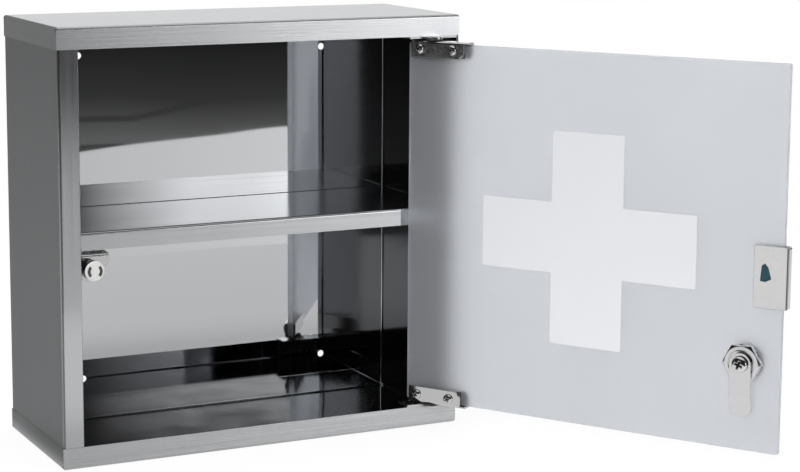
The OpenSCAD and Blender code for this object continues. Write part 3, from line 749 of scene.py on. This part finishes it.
class CABINET_OT_screws(bpy.types.Operator):
    """Turn the screws of the clamps and of the cam, with their cross recesses"""

    bl_idname = "cabinet.screws"
    bl_label = "Make the screws"

    def execute(self, context):
        look = context.scene.cabinet_screws
        plate = screw_plate(context.scene.cabinet_steel)
        axes = door_axes()
        turns = (0.35, 1.22)
        for end in ENDS:
            node = f"{end}_clamp_screws"
            low, high = node_in(axes, node)
            head_r = (high[2] - low[2]) / 2
            size = {"head_r": head_r, "head_h": look.clamp_head, "shank_r": look.clamp_shank,
                    "shank_l": high[1] - low[1] - look.clamp_head}
            middle = (high[2] + low[2]) / 2
            centres = (high[0] - head_r, low[0] + head_r)
            screws = [{"foot": (x, low[1], middle), "turn": turn, **size}
                      for x, turn in zip(centres, turns)]
            piece = screw_piece(f"{end}_turned_screws", screws, axes)
            finish_piece(piece, "door", plate)
            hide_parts(node)
        low, high = node_in(axes, "cam_screw")
        middle = (low + high) / 2
        screw = {"foot": (middle[0], low[1], middle[2]), "turn": turns[0],
                 "head_r": (high[2] - low[2]) / 2, "head_h": look.cam_head,
                 "shank_r": look.cam_shank, "shank_l": high[1] - low[1] - look.cam_head}
        piece = screw_piece("turned_cam_screw", [screw], axes)
        finish_piece(piece, "lock_core", plate)
        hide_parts("cam_screw")
        return {"FINISHED"}


def studio_world(scene, look):
    """A white backdrop behind the cabinet, and a dim room in front with one soft box.

    A direction has a turn, measured from straight ahead of the cabinet towards its
    right, a turn measured the same way from straight behind it, and a rise, all in
    degrees. The cabinet's bright sheet mirrors what is named here.
    """
    world = bpy.data.worlds.new("studio")
    world.use_nodes = True
    sky = Nodes(world.node_tree)
    way = sky.parts(sky.coordinates["Generated"])
    forward = sky.math("MULTIPLY", way["Y"], -1.0)
    ahead = sky.math("DEGREES", sky.math("ARCTAN2", way["X"], forward))
    behind = sky.math("DEGREES", sky.math("ARCTAN2", way["X"], way["Y"]))
    rise = sky.math("DEGREES", sky.math("ARCSINE", way["Z"]))

    def band(angle, grow, fade):
        """1 between two soft edges, each given by the angles where it starts and ends."""
        return sky.product(sky.ramp(angle, *grow, soft=True),
                           sky.ramp(angle, *fade, 1.0, 0.0, soft=True))

    def panel(level, turn, turns, rises):
        """A rectangle of directions with soft edges."""
        return sky.product(level, band(turn, *turns), band(rise, *rises))

    dim_front = sky.ramp(rise, -12.0, -5.0, 0.16, 0.02)
    walls = sky.blend(sky.ramp(way["Y"], 0.3, 0.7, 1.0, 0.0), 0.23, dim_front)
    fading = sky.math("POWER", sky.ramp(rise, -7.7, -5.2, 1.0, 0.0), 2.0)
    skirting = sky.math("SUBTRACT", rise, sky.ramp(ahead, 19.6, 22.4, -7.2, -6.4))
    skirting = sky.ramp(sky.math("ABSOLUTE", skirting), 0.03, 0.1, 0.3, 1.0)
    far_floor = panel(0.17, ahead, ((0, 12), (32, 38)), ((-7.9, -7.8), (0, 1)))
    far_floor = sky.product(far_floor, fading, skirting)
    near = sky.ramp(rise, -18.0, -13.8, 0.45, 1.0)
    leaning = sky.math("ADD", rise, sky.ramp(ahead, 10.0, 30.0, 1.0, -1.0))
    floor = sky.product(near, sky.ramp(ahead, 17.0, 24.0, 0.8, 1.0),
                        band(leaning, (-89, -60), (-7.84, -7.78)),
                        band(ahead, (11, 17.5), (32, 38)))
    left_floor = panel(0.85, ahead, ((-120, -100), (-75, -55)), ((-89, -60), (-8, -7)))
    left_floor = sky.product(near, left_floor)
    right_wall = panel(1.7, ahead, ((24.5, 27.5), (33, 38)), ((-5, -3), (11.5, 15.2)))
    rear_light = panel(1.0, behind, ((6, 12), (60, 80)), ((-60, -40), (40, 55)))
    box_level = sky.math("ADD", sky.ramp(ahead, 17.8, 21.2, 0.15, 2.6),
                         sky.ramp(ahead, 23.0, 29.0, 0.0, 2.7))
    soft_box = panel(look.soft_box, ahead, ((16.8, 19), (33, 38)), ((-1, 3), (11.5, 15.2)))
    soft_box = sky.product(box_level, soft_box)
    ceiling = sky.ramp(rise, 40.0, 65.0, 0.0, 0.9)
    room = walls
    for light in (far_floor, floor, left_floor, right_wall, rear_light, soft_box, ceiling):
        room = sky.math("MAXIMUM", room, light)

    path = sky.node("ShaderNodeLightPath").outputs
    dim_side = panel(0.95, ahead, ((-35, -10), (70, 95)), ((-85, -70), (20, 45)))
    white_side = sky.math("SUBTRACT", 1.0, dim_side)
    white = sky.math("MAXIMUM", path["Is Camera Ray"],
                     sky.product(path["Is Transmission Ray"], white_side))
    dimmed = sky.math("SUBTRACT", 1.0, sky.product(path["Is Transmission Ray"], 0.9))
    back = sky.tree.nodes["Background"]
    sky.feed(back.inputs["Strength"], sky.blend(white, sky.product(room, dimmed), 1.0))
    back.inputs["Color"].default_value = WHITE
    scene.world = world


def soft_lamp(name, place, aim, size, energy):
    """A large lamp that lights matt surfaces and isn't mirrored in the metal."""
    lamp = bpy.data.lights.new(name, "AREA")
    lamp.shape = "RECTANGLE"
    lamp.size, lamp.size_y = size
    lamp.energy = energy
    box = bpy.data.objects.new(name, lamp)
    box.location = place
    box.rotation_euler = (Vector(aim) - Vector(place)).to_track_quat("-Z", "Y").to_euler()
    box.visible_glossy = False
    bpy.context.scene.collection.objects.link(box)


def table_top():
    """White table, square to the camera, with the cabinet's soft shadow.

    Metal and glass see it as white as the camera does, except at the left, where
    the room beside the cabinet is dim, and mirrors see a painted shadow that
    darkens it in front of the cabinet and towards its left.
    """
    height = CAD_BOX[0].z
    near, far, left, right, bend = -0.6, 3.5, -0.21, 3.5, -0.1
    edge = left + far * math.tan(math.radians(15.5))
    corners = [(left, near, height), (right, near, height), (right, far, height),
               (edge, far, height), (left, bend, height)]
    table = mesh_piece("table_top", corners, [(0, 1, 2, 3, 4)])
    paint = Shader("table_paint")
    path = paint.node("ShaderNodeLightPath").outputs
    mirrored, through = path["Is Glossy Ray"], path["Is Transmission Ray"]
    indoors = paint.math("MAXIMUM", mirrored, through)
    paint.set(Base_Color=paint.mix(indoors, grey(0.93), grey(0.16)), Specular_IOR_Level=0.0,
              Roughness=paint.spread(paint.noise(9.0), 0.8, 0.95))
    place = paint.parts(paint.place)
    behind = paint.ramp(place["Y"], -0.34, -0.3)
    beside = paint.ramp(place["X"], -0.16, -0.15)
    # Painted shadow: mirrors see the table darker in front of the cabinet and towards its left,
    # where the cabinet's shadow falls.
    darker = paint.product(paint.ramp(place["Y"], -0.3, -0.2, 1.0, 0.8),
                         paint.ramp(place["X"], -0.15, 0.15, 0.8, 1.0))
    darker = paint.blend(paint.ramp(place["Y"], -0.3, -0.2), 1.0, darker)
    seen = paint.math("MAXIMUM", path["Is Camera Ray"], paint.product(through, behind))
    seen = paint.math("MAXIMUM", seen, paint.product(mirrored, beside, darker, 0.86))
    away = paint.node("ShaderNodeVectorMath", {0: paint.place}, operation="LENGTH").outputs["Value"]
    glow = paint.node("ShaderNodeEmission", {"Color": WHITE, "Strength": 1.0})
    both = paint.node("ShaderNodeMixShader", {
        "Fac": paint.product(seen, paint.ramp(away, 0.35, 1.0, 0.88, 1.0))})
    paint.feed(both.inputs[1], paint.shader.outputs[0])
    paint.feed(both.inputs[2], glow.outputs[0])
    paint.feed(paint.tree.nodes["Material Output"].inputs["Surface"], both.outputs[0])
    table.data.materials.append(paint.material)


def set_camera(scene, look):
    """Camera at the photograph's angle: rolled, tipped down, and turned to the right."""
    data = bpy.data.cameras.new("camera")
    data.lens = look.lens
    data.sensor_width = 36.0
    data.sensor_fit = "HORIZONTAL"
    data.shift_x, data.shift_y = look.shift
    data.clip_end = 50.0
    camera = bpy.data.objects.new("camera", data)
    camera.location = look.eye
    turns = ((-look.yaw, "Z"), (math.pi / 2 - look.pitch, "X"), (look.roll, "Z"))
    yaw, tip, roll = (Matrix.Rotation(angle, 4, axis) for angle, axis in turns)
    camera.rotation_euler = (yaw @ tip @ roll).to_euler()
    scene.collection.objects.link(camera)
    scene.camera = camera


class CABINET_OT_stage(bpy.types.Operator):
    """Set up the table, the soft light and the camera"""

    bl_idname = "cabinet.stage"
    bl_label = "Set the stage"

    def execute(self, context):
        scene = context.scene
        look = scene.cabinet_stage
        studio_world(scene, look)
        table_top()
        soft_lamp("key_lamp", place=(-1.5, -1.6, 1.3), aim=(0.1, -0.2, 0),
                  size=(1.4, 1.4), energy=50 * look.light)
        soft_lamp("top_lamp", place=(0.1, -0.1, 2.1), aim=(0, -0.1, -0.1),
                  size=(2.4, 2.4), energy=34 * look.light)
        set_camera(scene, look)
        scene.view_settings.view_transform = "Standard"
        return {"FINISHED"}


class CABINET_PT_panel(bpy.types.Panel):
    """Lists the steps in the order in which they run"""

    bl_idname = "CABINET_PT_panel"
    bl_label = "Cabinet"
    bl_space_type = "VIEW_3D"
    bl_region_type = "UI"
    bl_category = "Cabinet"

    def draw(self, context):
        for step in STEPS:
            self.layout.operator(step.bl_idname)


STEPS = (
    CABINET_OT_case,
    CABINET_OT_door_glass,
    CABINET_OT_cross,
    CABINET_OT_hinges,
    CABINET_OT_catch,
    CABINET_OT_lock,
    CABINET_OT_screws,
    CABINET_OT_stage,
)
SETTINGS = {
    "cabinet_steel": CabinetSteel,
    "cabinet_glass": CabinetGlass,
    "cabinet_screws": CabinetScrews,
    "cabinet_stage": CabinetStage,
}
CLASSES = tuple(SETTINGS.values()) + STEPS + (CABINET_PT_panel,)


def register():
    for cls in CLASSES:
        bpy.utils.register_class(cls)
    for name, group in SETTINGS.items():
        setattr(bpy.types.Scene, name, bpy.props.PointerProperty(type=group))


def unregister():
    for name in SETTINGS:
        delattr(bpy.types.Scene, name)
    for cls in reversed(CLASSES):
        bpy.utils.unregister_class(cls)


def main():
    register()
    for step in STEPS:
        group, name = step.bl_idname.split(".")
        getattr(getattr(bpy.ops, group), name)()


if __name__ == "__main__":
    main()
